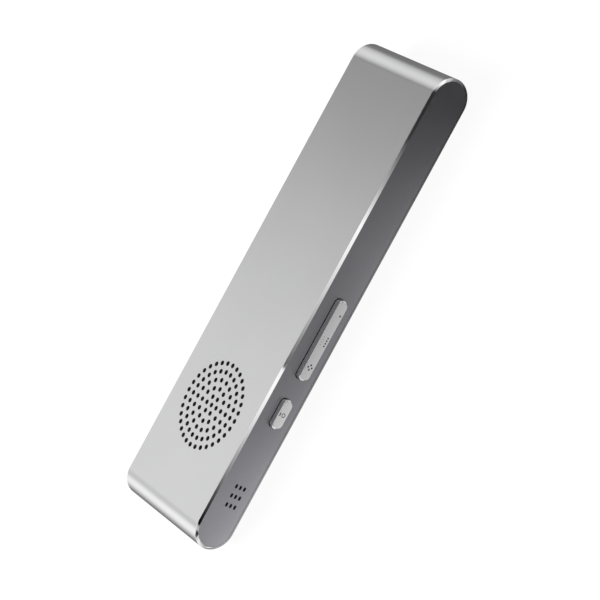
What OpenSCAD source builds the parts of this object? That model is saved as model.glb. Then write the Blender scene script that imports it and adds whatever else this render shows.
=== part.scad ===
// Handheld translator: an extruded aluminium tube with a side cover in each mouth.
// It lies on its back. X runs across the body, Y along it and Z from the back to the front.
// The origin is the centre of the back face, and the keys are on the +X side.

/* [Body] */
// Length of the body, end to end
body_l = 140; // [126:1:160]
// Width of the body, from side to side
body_w = 38; // [34:0.5:44]
// Thickness of the body, back to front
body_t = 12.6; // [11.4:0.1:14.5]
// Wall of the extruded shell
wall = 1.3; // [1.1:0.05:1.5]
// Width of the chamfer round each mouth, on the shell's outer face
rim_chamfer = 0.4; // [0.3:0.05:0.6]
// How far that chamfer runs in over the shell's end
rim_drop = 0.65; // [0.4:0.05:0.7]
// Flat land between that chamfer and the side cover
rim_land = 0.2; // [0.15:0.05:0.3]
// Gap round a piece that drops into its seat
fit_gap = 0.04; // [0.02:0.01:0.08]

/* [Side covers] */
// Thickness of both side covers
cover_t = 1.2; // [1:0.05:1.4]
// How far the covers lie below the rims
cover_recess = 0.05; // [0.02:0.01:0.15]
// Thickness of the adhesive ring under each cover
tape_t = 0.15; // [0.1:0.05:0.2]
// Diameter of the locating posts behind the covers
post_d = 1.8; // [1.4:0.1:2]
// Length of those posts
post_l = 4; // [2.5:0.5:6]

/* [Speaker] */
// Centre of the grille, from the bottom end
grille_from_end = 33.2; // [30:0.1:36]
// Rings of holes round the middle one
grille_rings = 5; // [3:1:5]
// Diameter of a grille hole
grille_hole_d = 1.35; // [0.9:0.05:1.5]
// Height of the loudspeaker from its magnet to its front ring
speaker_h = 4.8; // [4.4:0.1:5]
// Thickness of the dust mesh under the grille
mesh_t = 0.15; // [0.1:0.05:0.25]
// Thickness of the foam ring on the loudspeaker
gasket_t = 0.4; // [0.3:0.05:0.6]
// Wall of the speaker box
box_wall = 0.6; // [0.5:0.05:0.8]
// Gap between the speaker box and the key bracket
speaker_gap = 0.51; // [0.3:0.01:1.5]

/* [Microphone] */
// Centre of the microphone slots, from the bottom end
mic_from_end = 15.9; // [15:0.1:17]
// How far the slots lie below the middle of the thickness
mic_drop = 0.7; // [0:0.1:0.8]
// Length of one slot
slot_l = 1.2; // [1:0.05:1.6]
// Width of one slot
slot_w = 0.75; // [0.5:0.05:0.9]
// Distance between slots along the body
slot_pitch_l = 2.72; // [2.3:0.02:2.9]
// Distance between rows of slots
slot_pitch_t = 1.46; // [1.2:0.02:1.5]

/* [Keys] */
// Centre of the power key, from the bottom end
power_from_end = 40.95; // [37:0.05:45]
// Length of the power key
power_l = 8.5; // [7:0.1:9]
// Gap between the power key and the long key
key_spacing = 6.15; // [5.5:0.05:8]
// Length of the long key
long_l = 23.6; // [22:0.1:24.5]
// Width of both keys
key_w = 3.4; // [3:0.1:3.8]
// How far the power key stands out of the side
power_proud = 1.65; // [1:0.05:2]
// How far the long key stands out of the side
long_proud = 2; // [1:0.05:2.2]
// Radius of the keys' corners, seen from the side
key_corner = 1.5; // [1:0.05:1.5]
// Rounding of the keys' outer edges
key_round = 0.35; // [0.2:0.05:0.5]
// Gap round each key in the cover
key_gap = 0.15; // [0.1:0.01:0.2]
// Travel of a key that is pressed straight in
key_travel = 0.2; // [0.15:0.01:0.25]
// Tilt of the long key each way, in degrees
key_tilt = 1.2; // [0.8:0.1:1.4]
// Diameter of the long key's cross pin
pin_d = 0.8; // [0.6:0.05:0.9]

/* [Key bracket] */
// Room behind the side cover for the keys' feet and the domes
key_room = 1.75; // [1.7:0.05:2]
// Sheet thickness of the bracket
bracket_t = 0.8; // [0.6:0.05:0.9]
// Height of a snap dome
dome_h = 0.35; // [0.3:0.01:0.38]
// Diameter of a snap dome
dome_d = 4; // [3:0.1:4.2]

/* [Chassis] */
// Floor of the chassis
floor_t = 0.8; // [0.7:0.05:1]
// Height of the bosses under the main board
boss_h = 0.65; // [0.5:0.05:0.8]
// Diameter of the small screws' shanks
screw_d = 1.3; // [1:0.1:1.4]

/* [Main board] */
// Length of the main board
board_l = 66; // [60:0.5:72]
// Thickness of the main board
board_t = 1; // [0.8:0.05:1.1]

/* [Battery] */
// Room beside the cell at each side, for the rails and the antenna
cell_side_room = 2.25; // [2:0.05:4]
// Room between the cell and the end block beyond it
cell_end_room = 4.1; // [2:0.1:12]
// Thickness of the foam pads over the cell
pad_t = 1.3; // [0.6:0.1:3]

/* [Charging port] */
// Centre of the port, from the bottom end
usb_from_end = 17.5; // [16:0.1:19]
// Width of the socket
usb_w = 7.5; // [6.9:0.05:9]
// Height of the socket
usb_h = 2.6; // [2.4:0.05:3.2]
// Depth of the socket
usb_depth = 5.5; // [5:0.1:6]

/* [Hidden] */
$fn = 64;
hull_fn = 32;
over = 1; // how far a cut runs past the face that it opens

silver = [0.76, 0.77, 0.78];
side_grey = [0.48, 0.49, 0.52];
key_silver = [0.80, 0.81, 0.83];
steel = [0.62, 0.63, 0.64];
black_plastic = [0.08, 0.08, 0.09];
board_green = [0.05, 0.28, 0.16];
gold = [0.83, 0.66, 0.28];
foam_black = [0.12, 0.12, 0.12];

// Planes of the body
mid_z = body_t / 2;
arc_y = body_l / 2 - mid_z;     // centres of the two round ends
bottom_y = -body_l / 2;
inner_r = mid_z - wall;
front_z = body_t - wall;        // inner face of the front
cover_r = mid_z - rim_drop - rim_land;
cover_out_x = body_w / 2 - cover_recess;
cover_in_x = cover_out_x - cover_t;
ledge_x = cover_in_x - tape_t;  // ledge in the shell's mouth

// Places along the body
speaker_y = bottom_y + grille_from_end;
mic_y = bottom_y + mic_from_end;
mic_z = mid_z - mic_drop;
power_y = bottom_y + power_from_end;
long_y = power_y + power_l / 2 + key_spacing + long_l / 2;
usb_y = bottom_y + usb_from_end;
led_from_usb = 8;
led_y = usb_y + led_from_usb;
mic_rows = 3;

// Planes behind the keys, from the cover inwards
flex_x = cover_in_x - key_room;
flex_t = 0.2;
stiff_x = flex_x - flex_t;
stiff_t = 0.3;
bracket_x = stiff_x - stiff_t;
bracket_in_x = bracket_x - bracket_t;
dome_gap = 0.05;
foot_x = flex_x + dome_h + dome_gap;   // where the keys' feet end
lip = 0.5;                             // the keys' lips reach this far round them
lip_t = 0.6;
stop_gap = 0.05;
power_lip_x = cover_in_x - stop_gap;
long_lip_x = cover_in_x - (long_l / 2 + lip) * sin(key_tilt) - 0.15;
pin_x = cover_in_x - pin_d / 2 - 0.15;
pin_gap = 0.03;
hub_wall = 0.25;                       // of the long key round its pin, on the inner side
ear_z = key_w / 2 + lip + 0.15;        // inner face of an ear, from the middle
ear_t = 0.9;
ear_w = pin_d + 1.6;
pin_l = 2 * (ear_z + ear_t);
nub_d = 1.6;
mark_pitch = long_l * 0.328;           // from the long key's middle to either end's dome

// Chassis and board levels
chassis_r = inner_r - fit_gap;
floor_z = wall + fit_gap + floor_t;
block_y = arc_y - 1.2;                 // inner faces of the end blocks
post_r = post_d / 2;
post_gap = 0.05;
post_wall = 0.45;                      // chassis left outside a post's hole
post_reach = chassis_r - post_r - post_gap - post_wall;
post_angle = 43;
post_off_y = arc_y + post_reach * cos(post_angle);
post_off_z = post_reach * sin(post_angle);
board_z = floor_z + boss_h;
board_top = board_z + board_t;
board_edge_room = 1.75;                // between the left cover and the board
board_left = -(cover_in_x - board_edge_room);
post_depth = 2;                        // of the bracket's two posts, across the body
board_right = bracket_in_x - post_depth - 0.3;
board_mid_x = (board_left + board_right) / 2;
board_end_room = 3.7;                  // from the end arc's centre to the board
board_y0 = board_end_room - arc_y;
board_y1 = board_y0 + board_l;
screw_gap = 0.02;
lead_d = 0.8;                          // of the insulated leads
lead_drop = 0.8;                       // from the speaker box to its leads' bend
head_d = screw_d + 1.1;
head_t = 0.6;
boss_d = screw_d + 1.9;
screw_inset_x = 3;
screw_inset_y = 2.4;

// Bracket, its two posts and its reach along the body
bracket_half = key_w / 2 + lip + ear_t + 0.55;
bracket_top = mid_z + bracket_half;
bracket_y0 = power_y - power_l / 2 - 1.7;
post_a_y = (power_y + power_l / 2 + long_y - long_l / 2) / 2;
bracket_end_room = 1.9;                // from a post's middle to the bracket's end
post_b_y = long_y + long_l / 2 + head_d + 1.2;
bracket_y1 = post_b_y + bracket_end_room;
bracket_post_w = 3.4;
post_cap = 1;                          // post above a bracket screw's head
screw_bite = 1.2;                      // depth of a bracket screw in its post
bore_spare = 0.2;
flex_half = key_w / 2 + lip - 0.05;
flex_y1 = long_y + long_l / 2 + 0.6;

// Loudspeaker radii and levels
box_r = bracket_in_x - speaker_gap;    // the loudspeaker fills the width beside the bracket
speaker_r = box_r - box_wall - fit_gap;
rim_w = 0.85;                          // of the loudspeaker's front ring
cone_r = speaker_r - rim_w;            // outer edge of the moving cone's surround
grille_edge = 0.07;                    // from the outermost holes to the front ring
grille_pitch = (cone_r - grille_edge - grille_hole_d / 2) / grille_rings;
mesh_z = front_z - mesh_t;
ring_z = mesh_z - gasket_t;            // top of the loudspeaker's front ring
ring_t = 1.2;
magnet_z = ring_z - speaker_h;
magnet_r = speaker_r * 0.53;
magnet_t = speaker_h * 0.54;
plate_t = speaker_h * 0.16;            // magnet left under the coil's groove
coil_r = speaker_r * 0.37;
coil_groove = 0.5;                     // half the groove's width
coil_half = 0.2;                       // half the coil's wall
cone_z = ring_z - 1.4;                 // lowest ring of the cone, where the coil is glued

// Battery, from the board's end towards the top
bay_gap = 0.2;
guard_t = 1;                           // fence between the board and the battery
pcm_l = 3.8;                           // protection board
pcm_h = 2.2;
lead_room = 3.2;                       // from the board to the fence
cell_y = max(board_y1 + lead_room + guard_t + pcm_l + 2 * bay_gap, bracket_y1 + 2 * bay_gap);
pcm_y = cell_y - bay_gap - pcm_l;
guard_y = pcm_y - bay_gap - guard_t;
guard_h = 2;
cell_end = block_y - cell_end_room;
cell_l = cell_end - cell_y;
cell_w = 2 * (cover_in_x - cell_side_room);
pcm_w = cell_w * 0.68;
guard_w = cell_w * 0.65;
tape_battery_t = 0.2;
tape_inset = 3;
cell_z = floor_z + tape_battery_t;
pad_gap = 0.05;
cell_t = front_z - pad_gap - pad_t - cell_z;
cell_round = 1.2;
pad_l = cell_l / 5.5;
pad_inset = 2;

// Rails and windows of the chassis under the cell
rail_t = 1;
rail_inset = 2.5;
window_rib = 4;
window_round = 2;

// Charging port and status light
usb_x = stop_gap - cover_in_x;
usb_wall = 0.35;
usb_corner = 0.6;
usb_room = 0.15;                       // round the socket in the left cover
usb_mid_z = board_top + usb_h / 2;
pipe_d = 1.2;
led_l = 1.6;
led_h = 0.8;
led_t = 0.8;
led_mid_z = board_top + led_h;

// The main board's four screws, the one beside the port set in past the socket
board_screw_places = [
    [usb_x + usb_depth + 2.2, board_y0 + screw_inset_y],
    [board_right - screw_inset_x, board_y0 + screw_inset_y],
    [board_left + screw_inset_x, board_y1 - screw_inset_y],
    [board_right - screw_inset_x, board_y1 - screw_inset_y]];

// ---- Helpers ----

// Extrudes a (Y, Z) drawing along X
module along_x(x0, x1) {
    translate([x0, 0, 0]) rotate([90, 0, 90]) linear_extrude(x1 - x0) children();
}

// Extrudes a (Z, X) drawing along Y
module along_y(y0, y1) {
    translate([0, y0, 0]) rotate([-90, 0, 0]) rotate([0, 0, -90]) linear_extrude(y1 - y0) children();
}

// The body's outline of radius r about its end arcs, as a (Y, Z) drawing
module stadium(r) {
    translate([-arc_y, mid_z - r]) square([2 * arc_y, 2 * r]);
    for (side = [-1, 1]) translate([side * arc_y, mid_z]) circle(r);
}

// Rectangle with round corners, centred
module round_rect(l, w, r) {
    square([l, w - 2 * r], center = true);
    square([l - 2 * r, w], center = true);
    for (sx = [-1, 1], sy = [-1, 1]) translate([sx * (l / 2 - r), sy * (w / 2 - r)]) circle(r);
}

// Slot with round ends, centred
module slot(l, w) {
    square([l - w, w], center = true);
    for (side = [-1, 1]) translate([side * (l - w) / 2, 0]) circle(d = w);
}

// Box between two corners
module block(low, high) {
    translate(low) cube(high - low);
}

// Both ends of something that is drawn for the +X side
module both_sides() {
    children();
    mirror([1, 0, 0]) children();
}

// Cylinder along X from x0 to x1, about (y, z)
module rod_x(x0, x1, y, z, d) {
    translate([x0, y, z]) rotate([0, 90, 0]) cylinder(d = d, h = x1 - x0);
}

// Cylinder along Y from y0 to y1, about (x, z)
module rod_y(y0, y1, x, z, d) {
    translate([x, y0, z]) rotate([-90, 0, 0]) cylinder(d = d, h = y1 - y0);
}

// Small screw: head up, its seat at z = 0
module small_screw(shank_l) {
    difference() {
        union() {
            cylinder(d = head_d, h = head_t);
            translate([0, 0, -shank_l]) cylinder(d = screw_d, h = shank_l + head_t / 2);
        }
        for (turn = [0, 90]) rotate(turn)
            translate([-head_d / 3, -0.15, head_t / 2]) cube([head_d / 1.5, 0.3, head_t]);
    }
}

// ---- Shell and covers ----

// Half section of the shell: distance from the middle against distance across the body
function rim_section(r, half) = [[0, -half], [r - rim_drop, -half], [r, rim_chamfer - half],
    [r, half - rim_chamfer], [r - rim_drop, half], [0, half]];

// Solid body with a chamfer round both mouths
module rimmed_body() {
    section = rim_section(mid_z, body_w / 2);
    translate([0, 0, mid_z]) {
        for (side = [0, 1]) mirror([0, side, 0]) translate([0, arc_y, 0])
            rotate([0, 90, 0]) rotate_extrude(angle = 180) polygon(section);
        along_y(-arc_y, arc_y) {
            polygon(section);
            mirror([1, 0]) polygon(section);
        }
    }
}

// Holes of the speaker grille: one in the middle and rings round it
module grille_holes() {
    translate([0, speaker_y, front_z - over]) {
        cylinder(d = grille_hole_d, h = wall + 2 * over);
        for (ring = [1:grille_rings]) {
            count = 2 * round(PI * ring);
            for (hole = [0:count - 1]) rotate(hole * 360 / count)
                translate([ring * grille_pitch, 0, 0]) cylinder(d = grille_hole_d, h = wall + 2 * over);
        }
    }
}

module shell() {
    color(silver) difference() {
        rimmed_body();
        along_x(-body_w / 2 - over, body_w / 2 + over) stadium(inner_r);
        both_sides() along_x(ledge_x, body_w / 2 + over) stadium(cover_r);
        grille_holes();
    }
}

// Plate of a side cover with its four posts, for the +X side
module cover_plate() {
    along_x(cover_in_x, cover_out_x) stadium(cover_r - fit_gap);
    for (side_y = [-1, 1], side_z = [-1, 1])
        rod_x(cover_in_x - post_l, cover_in_x + cover_t / 2, side_y * post_off_y,
            mid_z + side_z * post_off_z, post_d);
}

// Places of the microphone slots, as a (Y, Z) drawing
module mic_slots() {
    for (col = [0:mic_rows - 1], row = [0:mic_rows - 1])
        translate([mic_y + (col - (mic_rows - 1) / 2) * slot_pitch_l,
            mic_z + (row - (mic_rows - 1) / 2) * slot_pitch_t]) slot(slot_l, slot_w);
}

module right_cover() {
    color(side_grey) difference() {
        cover_plate();
        along_x(cover_in_x - over, cover_out_x + over) {
            translate([power_y, mid_z])
                round_rect(power_l + 2 * key_gap, key_w + 2 * key_gap, key_corner + key_gap);
            translate([long_y, mid_z])
                round_rect(long_l + 2 * key_gap, key_w + 2 * key_gap, key_corner + key_gap);
            mic_slots();
        }
    }
}

module left_cover() {
    color(side_grey) mirror([1, 0, 0]) difference() {
        cover_plate();
        along_x(cover_in_x - over, cover_out_x + over)
            translate([usb_y, usb_mid_z])
                round_rect(usb_w + 2 * usb_room, usb_h + 2 * usb_room, usb_corner + usb_room);
        rod_x(cover_in_x - over, cover_out_x + over, led_y, led_mid_z, pipe_d + 2 * fit_gap);
    }
}

module cover_tapes() {
    color(foam_black) both_sides() along_x(ledge_x, cover_in_x) difference() {
        stadium(cover_r - fit_gap);
        stadium(inner_r);
    }
}

// ---- Keys ----

// Cap of a key: upright sides, round corners and a rolled outer edge
module key_cap(l, y, x0, proud) {
    top = body_w / 2 + proud;
    edge = [for (step = [0:4]) let (a = step * 22.5)
        [key_corner - key_round * (1 - cos(a)), top - key_round * (1 - sin(a))]];
    section = concat([[0, x0], [key_corner, x0]], edge, [[0, top]]);
    hull() for (sy = [-1, 1], sz = [-1, 1])
        translate([0, y + sy * (l / 2 - key_corner), mid_z + sz * (key_w / 2 - key_corner)])
            rotate([0, 90, 0]) rotate_extrude($fn = hull_fn) polygon(section);
}

// Lip inside the cover that keeps a key in its opening
module key_lip(l, y, x_top) {
    along_x(x_top - lip_t, x_top) translate([y, mid_z])
        round_rect(l + 2 * lip, key_w + 2 * lip, key_corner);
}

module key_foot(y, x_top) {
    rod_x(foot_x, x_top - lip_t / 2, y, mid_z, nub_d);
}

module long_key() {
    color(key_silver) difference() {
        union() {
            key_cap(long_l, long_y, long_lip_x - lip_t / 2, long_proud);
            key_lip(long_l, long_y, long_lip_x);
            for (place = [-1:1]) key_foot(long_y + place * mark_pitch, long_lip_x);
            block([pin_x - pin_d / 2 - hub_wall, long_y - pin_d / 2 - hub_wall, mid_z - key_w / 2 - lip],
                [long_lip_x, long_y + pin_d / 2 + hub_wall, mid_z + key_w / 2 + lip]);
        }
        translate([pin_x, long_y, mid_z]) cylinder(d = pin_d + 2 * pin_gap, h = pin_l, center = true);
    }
}

module key_pin() {
    color(steel) translate([pin_x, long_y, mid_z]) cylinder(d = pin_d, h = pin_l, center = true);
}

module power_key() {
    color(key_silver) {
        key_cap(power_l, power_y, power_lip_x - lip_t / 2, power_proud);
        key_lip(power_l, power_y, power_lip_x);
        key_foot(power_y, power_lip_x);
    }
}

// Ear of the bracket with the slot that the pin slides in
module pin_ear() {
    slot_d = pin_d + 2 * pin_gap;
    translate([0, long_y, mid_z + ear_z]) difference() {
        block([bracket_x - bracket_t / 2, -ear_w / 2, 0],
            [cover_in_x - stop_gap, ear_w / 2, ear_t]);
        for (x = [pin_x - key_travel, pin_x])
            translate([x, 0, -over]) cylinder(d = slot_d, h = ear_t + 2 * over);
        translate([pin_x - key_travel, -slot_d / 2, -over]) cube([key_travel, slot_d, ear_t + 2 * over]);
    }
}

tail_w = 5;                            // the flex circuit's tail, and its depth in the connector
tail_bite = 2.6;
tail_y = long_y - mark_pitch;
tail_z = mid_z - flex_half;

module key_bracket() {
    color(steel) difference() {
        union() {
            block([bracket_in_x, bracket_y0, floor_z], [bracket_x, bracket_y1, bracket_top]);
            pin_ear();
            translate([0, 0, mid_z]) mirror([0, 0, 1]) translate([0, 0, -mid_z]) pin_ear();
        }
        for (y = [post_a_y, post_b_y])
            rod_x(bracket_in_x - over, bracket_x + over, y, mid_z, screw_d + 2 * screw_gap);
        block([bracket_in_x - over, tail_y - tail_w / 2 - 0.3, tail_z - 0.3],
            [bracket_x + over, tail_y + tail_w / 2 + 0.3, tail_z + flex_t + 0.3]);
    }
}

module bracket_screws() {
    color(steel) for (y = [post_a_y, post_b_y])
        translate([bracket_x, y, mid_z]) rotate([0, 90, 0]) small_screw(bracket_t + screw_bite);
}

// Strip behind the domes, with a hole round the screw between the keys
module flex_strip(x0, x1, half) {
    difference() {
        block([x0, bracket_y0 + 0.4, mid_z - half], [x1, flex_y1, mid_z + half]);
        rod_x(x0 - over, x1 + over, post_a_y, mid_z, head_d + 0.4);
    }
}

module key_stiffener() {
    color(gold) flex_strip(bracket_x, stiff_x, flex_half - 0.5);
}

module key_flex() {
    color([0.55, 0.36, 0.12]) {
        flex_strip(stiff_x, flex_x, flex_half);
        block([board_right - tail_bite, tail_y - tail_w / 2, tail_z],
            [stiff_x + flex_t / 2, tail_y + tail_w / 2, tail_z + flex_t]);
    }
}

// Snap dome: a thin pressed cap
module snap_dome(y) {
    skin = 0.1;
    rise = dome_h - skin;
    translate([flex_x, y, mid_z]) rotate([0, 90, 0]) rotate_extrude() polygon([
        [dome_d / 2 - skin, 0], [dome_d / 2, 0], [dome_d / 4, dome_h], [0, dome_h],
        [0, rise], [dome_d / 4 - skin, rise]]);
}

module end_domes() {
    color(steel) for (side = [-1, 1]) snap_dome(long_y + side * mark_pitch);
}

module middle_dome() {
    color(steel) snap_dome(long_y);
}

module power_dome() {
    color(steel) snap_dome(power_y);
}

// ---- Chassis ----

// End block at +Y: it fills the round end and takes the covers' posts
module end_block() {
    core_wall = 1;
    difference() {
        along_x(-ledge_x, ledge_x) intersection() {
            stadium(chassis_r);
            translate([block_y, 0]) square([body_l, body_t]);
        }
        along_x(-ledge_x + post_l + 3, ledge_x - post_l - 3)
            translate([block_y - over, floor_z])
                square([over + 3.4, 2 * (mid_z - floor_z)]);
        both_sides() for (side_z = [-1, 1])
            rod_x(cover_in_x - post_l - 0.3, ledge_x + over, post_off_y, mid_z + side_z * post_off_z,
                post_d + 2 * post_gap);
        both_sides() along_x(ledge_x - post_l - 2, ledge_x - core_wall)
            translate([block_y + core_wall, mid_z - 1]) square([1.2, 2]);
    }
}

module chassis() {
    window_l = (cell_l - 3 * window_rib) / 2;
    rail_x = cell_w / 2 + bay_gap;
    color(black_plastic) difference() {
        union() {
            block([-ledge_x, -arc_y, wall + fit_gap], [ledge_x, arc_y, floor_z]);
            for (side = [0, 1]) mirror([0, side, 0]) end_block();
            for (at = board_screw_places) translate([at.x, at.y, floor_z - floor_t / 2])
                cylinder(d = boss_d, h = boss_h + floor_t / 2);
            for (y = [post_a_y, post_b_y])
                block([bracket_in_x - post_depth, y - bracket_post_w / 2, floor_z - floor_t / 2],
                    [bracket_in_x, y + bracket_post_w / 2, mid_z + head_d / 2 + post_cap]);
            block([-guard_w / 2, guard_y, floor_z - floor_t / 2],
                [guard_w / 2, guard_y + guard_t, floor_z + guard_h]);
            block([-cell_w / 2 + rail_inset, cell_end + bay_gap, floor_z - floor_t / 2],
                [cell_w / 2 - rail_inset, cell_end + bay_gap + guard_t, floor_z + 2 * guard_h]);
            both_sides() block([rail_x, cell_y + rail_inset, floor_z - floor_t / 2],
                [rail_x + rail_t, cell_end - rail_inset, floor_z + guard_h]);
        }
        for (at = board_screw_places) translate([at.x, at.y, board_z - boss_h - floor_t / 2])
            cylinder(d = screw_d + 2 * screw_gap, h = boss_h + over);
        for (y = [post_a_y, post_b_y])
            rod_x(bracket_in_x - screw_bite - bore_spare, bracket_in_x + over, y, mid_z, screw_d + 2 * screw_gap);
        for (side = [-1, 1])
            translate([0, cell_y + cell_l / 2 + side * (window_l + window_rib) / 2, 0])
                linear_extrude(floor_z + over) round_rect(cell_w - 2 * window_rib, window_l, window_round);
    }
}

// ---- Main board and what is on it ----

module main_board() {
    color(board_green) difference() {
        translate([board_mid_x, (board_y0 + board_y1) / 2, board_z])
            linear_extrude(board_t) round_rect(board_right - board_left, board_l, 1);
        for (at = board_screw_places) translate([at.x, at.y, board_z - over])
            cylinder(d = screw_d + 2 * key_gap, h = board_t + 2 * over);
    }
}

module board_screws() {
    color(steel) for (at = board_screw_places)
        translate([at.x, at.y, board_top]) small_screw(board_t + boss_h);
}

// Micro-USB socket: a folded steel shell, its contact tongue and four feet
module usb_socket() {
    mouth_w = usb_w - 2 * usb_wall;
    mouth_h = usb_h - 2 * usb_wall;
    color(steel) {
        difference() {
            along_x(usb_x, usb_x + usb_depth) translate([usb_y, usb_mid_z])
                round_rect(usb_w, usb_h, usb_corner);
            along_x(usb_x - over, usb_x + usb_depth - usb_wall) translate([usb_y, usb_mid_z])
                round_rect(mouth_w, mouth_h, usb_corner - usb_wall);
        }
        block([usb_x + 1, usb_y - mouth_w / 2 + 1.3, usb_mid_z - 0.1],
            [usb_x + usb_depth - usb_wall / 2, usb_y + mouth_w / 2 - 1.3, usb_mid_z + 0.5]);
        for (side = [0, 1]) translate([0, usb_y, 0]) mirror([0, side, 0])
            block([usb_x + usb_depth - 3, usb_w / 2 - usb_wall / 2, board_top],
                [usb_x + usb_depth - 1, usb_w / 2 + 0.8, board_top + 0.3]);
    }
}

module flex_connector() {
    color([0.85, 0.83, 0.76]) difference() {
        block([board_right - 3.4, tail_y - tail_w / 2 - 0.8, board_top],
            [board_right - 0.4, tail_y + tail_w / 2 + 0.8, tail_z + flex_t + 0.6]);
        block([board_right - tail_bite, tail_y - tail_w / 2 - fit_gap, tail_z - fit_gap],
            [board_right, tail_y + tail_w / 2 + fit_gap, tail_z + flex_t + fit_gap]);
    }
}

plug_x = board_mid_x - 1.2;
plug_w = 5;
plug_l = 3.5;
plug_h = 1.6;
plug_edge = 2.5;                       // from the plug to the board's edge
plug_y1 = board_y1 - plug_edge;
plug_y0 = plug_y1 - plug_l;
inductor_l = 2.6;
inductor_gap = 0.6;
inductor_y = plug_y0 - inductor_gap - inductor_l / 2;
can_room = 1.3;

module battery_connector() {
    color([0.9, 0.88, 0.8]) block([plug_x - plug_w / 2, plug_y0, board_top],
        [plug_x + plug_w / 2, plug_y1, board_top + plug_h]);
}

aerial_d = 2.4;
aerial_x = board_left + aerial_d / 2 + 0.6;
aerial_y = inductor_y - can_room - aerial_d;
aerial_h = 0.9;

module antenna_socket() {
    color(gold) translate([aerial_x, aerial_y, board_top]) difference() {
        cylinder(d = aerial_d, h = aerial_h);
        translate([0, 0, aerial_h / 3]) cylinder(d = aerial_d * 0.7, h = aerial_h);
    }
}

can_x = plug_x;
can_w = (board_right - board_left) * 0.6;
can_y1 = inductor_y - inductor_l / 2 - can_room;
can_y0 = speaker_y + box_r + lead_drop + 2 * can_room + lead_d;
can_l = can_y1 - can_y0;
can_y = (can_y0 + can_y1) / 2;
can_h = 1.6;
can_wall = 0.2;
chip_w = can_w * 0.53;
chip_l = can_l * 0.64;
chip_h = 1;
memory_w = can_w * 0.27;
memory_l = can_l * 0.43;
memory_h = 0.8;
part_l = 1;                            // small capacitors and resistors
part_w = 0.5;
part_row = 1.65;

module shield_can() {
    color(steel) translate([can_x, can_y, board_top]) difference() {
        linear_extrude(can_h) round_rect(can_w, can_l, 0.8);
        translate([0, 0, -over]) linear_extrude(over + can_h - can_wall)
            round_rect(can_w - 2 * can_wall, can_l - 2 * can_wall, 0.6);
    }
}

module processor() {
    color(black_plastic) translate([can_x - can_w * 0.15, can_y, board_top])
        linear_extrude(chip_h) square([chip_w, chip_l], center = true);
}

module memory_chip() {
    color(black_plastic) translate([can_x + can_w * 0.31, can_y - can_l * 0.14, board_top])
        linear_extrude(memory_h) square([memory_w, memory_l], center = true);
}

module power_inductor() {
    color([0.25, 0.25, 0.27]) translate([can_x + 1.5, inductor_y, board_top])
        linear_extrude(1.2) round_rect(3, inductor_l, 0.5);
}

// Rows of small capacitors and resistors beside the can and near the port
module board_parts() {
    color([0.66, 0.55, 0.42]) {
        for (row = [0:5]) translate([can_x + can_w / 2 + 1.4, can_y0 + 0.5 + row * part_row, board_top])
            linear_extrude(part_w) square([part_l, part_w], center = true);
        for (row = [-2:1]) translate([usb_x + usb_depth + 1.5, usb_y + (row + 0.2) * part_row, board_top])
            linear_extrude(part_w) square([part_l, part_w], center = true);
    }
}

// ---- Battery ----

module battery_cell() {
    color([0.72, 0.73, 0.74]) along_y(cell_y, cell_end)
        translate([cell_z + cell_t / 2, 0]) round_rect(cell_t, cell_w, cell_round);
}

module protection_board() {
    color(board_green) block([-pcm_w / 2, pcm_y, floor_z], [pcm_w / 2, pcm_y + pcm_l, floor_z + pcm_h]);
}

module battery_tape() {
    color([0.9, 0.9, 0.86]) block([-cell_w / 2 + tape_inset, cell_y + tape_inset, floor_z],
        [cell_w / 2 - tape_inset, cell_end - tape_inset, cell_z]);
}

module battery_pad() {
    color(foam_black) for (y = [cell_y + pad_inset, cell_end - pad_inset - pad_l])
        block([-cell_w / 2 + pad_inset, y, cell_z + cell_t],
            [cell_w / 2 - pad_inset, y + pad_l, front_z - pad_gap]);
}

// Two leads from the protection board over the fence to the plug
module battery_leads() {
    color([0.7, 0.1, 0.1]) for (side = [-1, 1]) {
        x = plug_x + side * 1.2;
        z = floor_z + pcm_h + lead_d / 2;
        rod_y(plug_y1, pcm_y + pcm_l / 3, x, z, lead_d);
    }
}

// ---- Loudspeaker ----

module speaker_frame() {
    seat = ring_z - ring_t;
    hub_z = magnet_z + magnet_t / 2;
    color(black_plastic) translate([0, speaker_y, 0]) rotate_extrude() polygon([
        [cone_r, ring_z], [speaker_r, ring_z], [speaker_r, seat], [speaker_r - 1.6, seat],
        [magnet_r + 1.2, hub_z], [magnet_r, hub_z], [magnet_r, hub_z + 0.6],
        [magnet_r + 0.8, hub_z + 0.6], [speaker_r - 2, seat + 0.5], [cone_r, ring_z - 0.5]]);
}

module speaker_magnet() {
    top = magnet_z + magnet_t;
    color([0.3, 0.3, 0.32]) translate([0, speaker_y, 0]) rotate_extrude() polygon([
        [0, magnet_z], [magnet_r, magnet_z], [magnet_r, top], [coil_r + coil_groove, top],
        [coil_r + coil_groove, magnet_z + plate_t], [coil_r - coil_groove, magnet_z + plate_t],
        [coil_r - coil_groove, top], [0, top]]);
}

module speaker_coil() {
    low = magnet_z + plate_t + 0.4;
    color([0.72, 0.4, 0.2]) translate([0, speaker_y, low]) difference() {
        cylinder(r = coil_r + coil_half, h = cone_z - low);
        translate([0, 0, -over]) cylinder(r = coil_r - coil_half, h = speaker_h);
    }
}

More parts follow.
